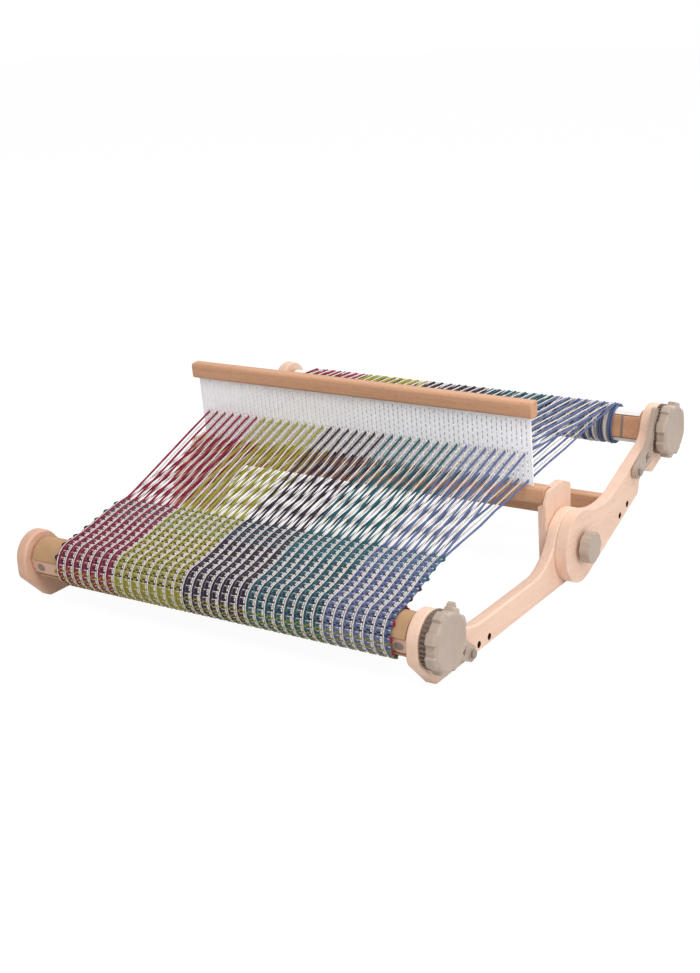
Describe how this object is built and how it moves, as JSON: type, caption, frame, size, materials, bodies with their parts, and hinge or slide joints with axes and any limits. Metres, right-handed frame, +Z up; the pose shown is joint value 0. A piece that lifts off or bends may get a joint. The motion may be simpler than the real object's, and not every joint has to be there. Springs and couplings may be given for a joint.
{
  "type": "folding rigid-heddle table loom",
  "caption": "Folding wooden table loom with rigid heddle, lobed ratchet handles, pawls, warp under tension and houndstooth cloth on the front roller.",
  "frame": {"origin": "centre of the box on the surface that the loom stands on", "axes": "+Z up, +Y from the cloth roller to the warp roller, +X towards the side with the handles"},
  "size_m": [0.6446, 0.6462, 0.2316],
  "materials": {
    "arm_beech": "pale beech, sanded and lacquered",
    "block_beech": "pale beech",
    "brown_beech": "warmer brown beech",
    "roller_wood": "turned hardwood",
    "taupe_plastic": "moulded, satin",
    "reed_plastic": "white moulded plastic",
    "steel": "zinc plated",
    "card": "brown card",
    "paper": "white paper",
    "cloth": "woven wool in five colours and cream",
    "warp": "wool warp in five colours and cream"
  },
  "bodies": {
    "base": {"front_arm_left": "arm_beech", "front_arm_right": "arm_beech", "heddle_block_left": "block_beech", "heddle_block_right": "block_beech", "block_screws": "steel", "fold_bolt_left": "steel", "fold_bolt_right": "steel", "fold_washers": "steel", "front_pawl_screw": "steel", "cloth_span": "cloth", "warp_front": "warp", "warp_back": "warp"},
    "back_frame": {"back_arm_left": "arm_beech", "back_arm_right": "arm_beech", "cross_rail": "brown_beech", "back_pawl_screw": "steel"},
    "front_beam": {"front_roller": "roller_wood", "front_stick": "block_beech", "front_stick_plugs": "taupe_plastic", "front_handle": "taupe_plastic", "front_handle_pin": "steel", "front_axle_bolt": "steel", "beam_card": "card", "cloth_roll": "cloth"},
    "back_beam": {"back_roller": "roller_wood", "back_stick": "brown_beech", "back_stick_bands": "taupe_plastic", "back_handle": "taupe_plastic", "back_handle_pin": "steel", "back_axle_bolt": "steel", "beam_paper": "paper", "warp_roll": "warp"},
    "front_pawl": {"front_pawl": "taupe_plastic"},
    "back_pawl": {"back_pawl": "taupe_plastic"},
    "heddle": {"heddle_top_rail": "brown_beech", "heddle_bottom_rail": "brown_beech", "heddle_reed": "reed_plastic"},
    "knob_left": {"fold_knob_left": "taupe_plastic"},
    "knob_right": {"fold_knob_right": "taupe_plastic"}
  },
  "joints": [
    {"name": "fold", "type": "hinge", "parent": "base", "child": "back_frame", "pos_m": [-0.00325, 0.04846, 0.0453], "axis": [1, 0, 0], "range_deg": [0, 80], "deforming": ["warp_back"]},
    {"name": "cloth_roller_turn", "type": "hinge", "parent": "base", "child": "front_beam", "pos_m": [-0.00325, -0.28654, 0.0558], "axis": [1, 0, 0], "continuous": true},
    {"name": "warp_roller_turn", "type": "hinge", "parent": "back_frame", "child": "back_beam", "pos_m": [-0.00325, 0.28654, 0.12804], "axis": [1, 0, 0], "continuous": true},
    {"name": "front_pawl_lift", "type": "hinge", "parent": "base", "child": "front_pawl", "pos_m": [0.29955, -0.21777, 0.01114], "axis": [-1, 0, 0], "range_deg": [0, 15]},
    {"name": "back_pawl_lift", "type": "hinge", "parent": "back_frame", "child": "back_pawl", "pos_m": [0.29955, 0.20315, 0.09418], "axis": [1, 0, 0], "range_deg": [0, 15]},
    {"name": "heddle_beat", "type": "slide", "parent": "base", "child": "heddle", "axis": [0, -1, 0], "range_m": [0, 0.14], "deforming": ["warp_front", "warp_back"]},
    {"name": "knob_left_turn", "type": "hinge", "parent": "base", "child": "knob_left", "pos_m": [-0.30605, 0.04846, 0.0453], "axis": [1, 0, 0], "continuous": true},
    {"name": "knob_right_turn", "type": "hinge", "parent": "base", "child": "knob_right", "pos_m": [0.29955, 0.04846, 0.0453], "axis": [1, 0, 0], "continuous": true}
  ]
}
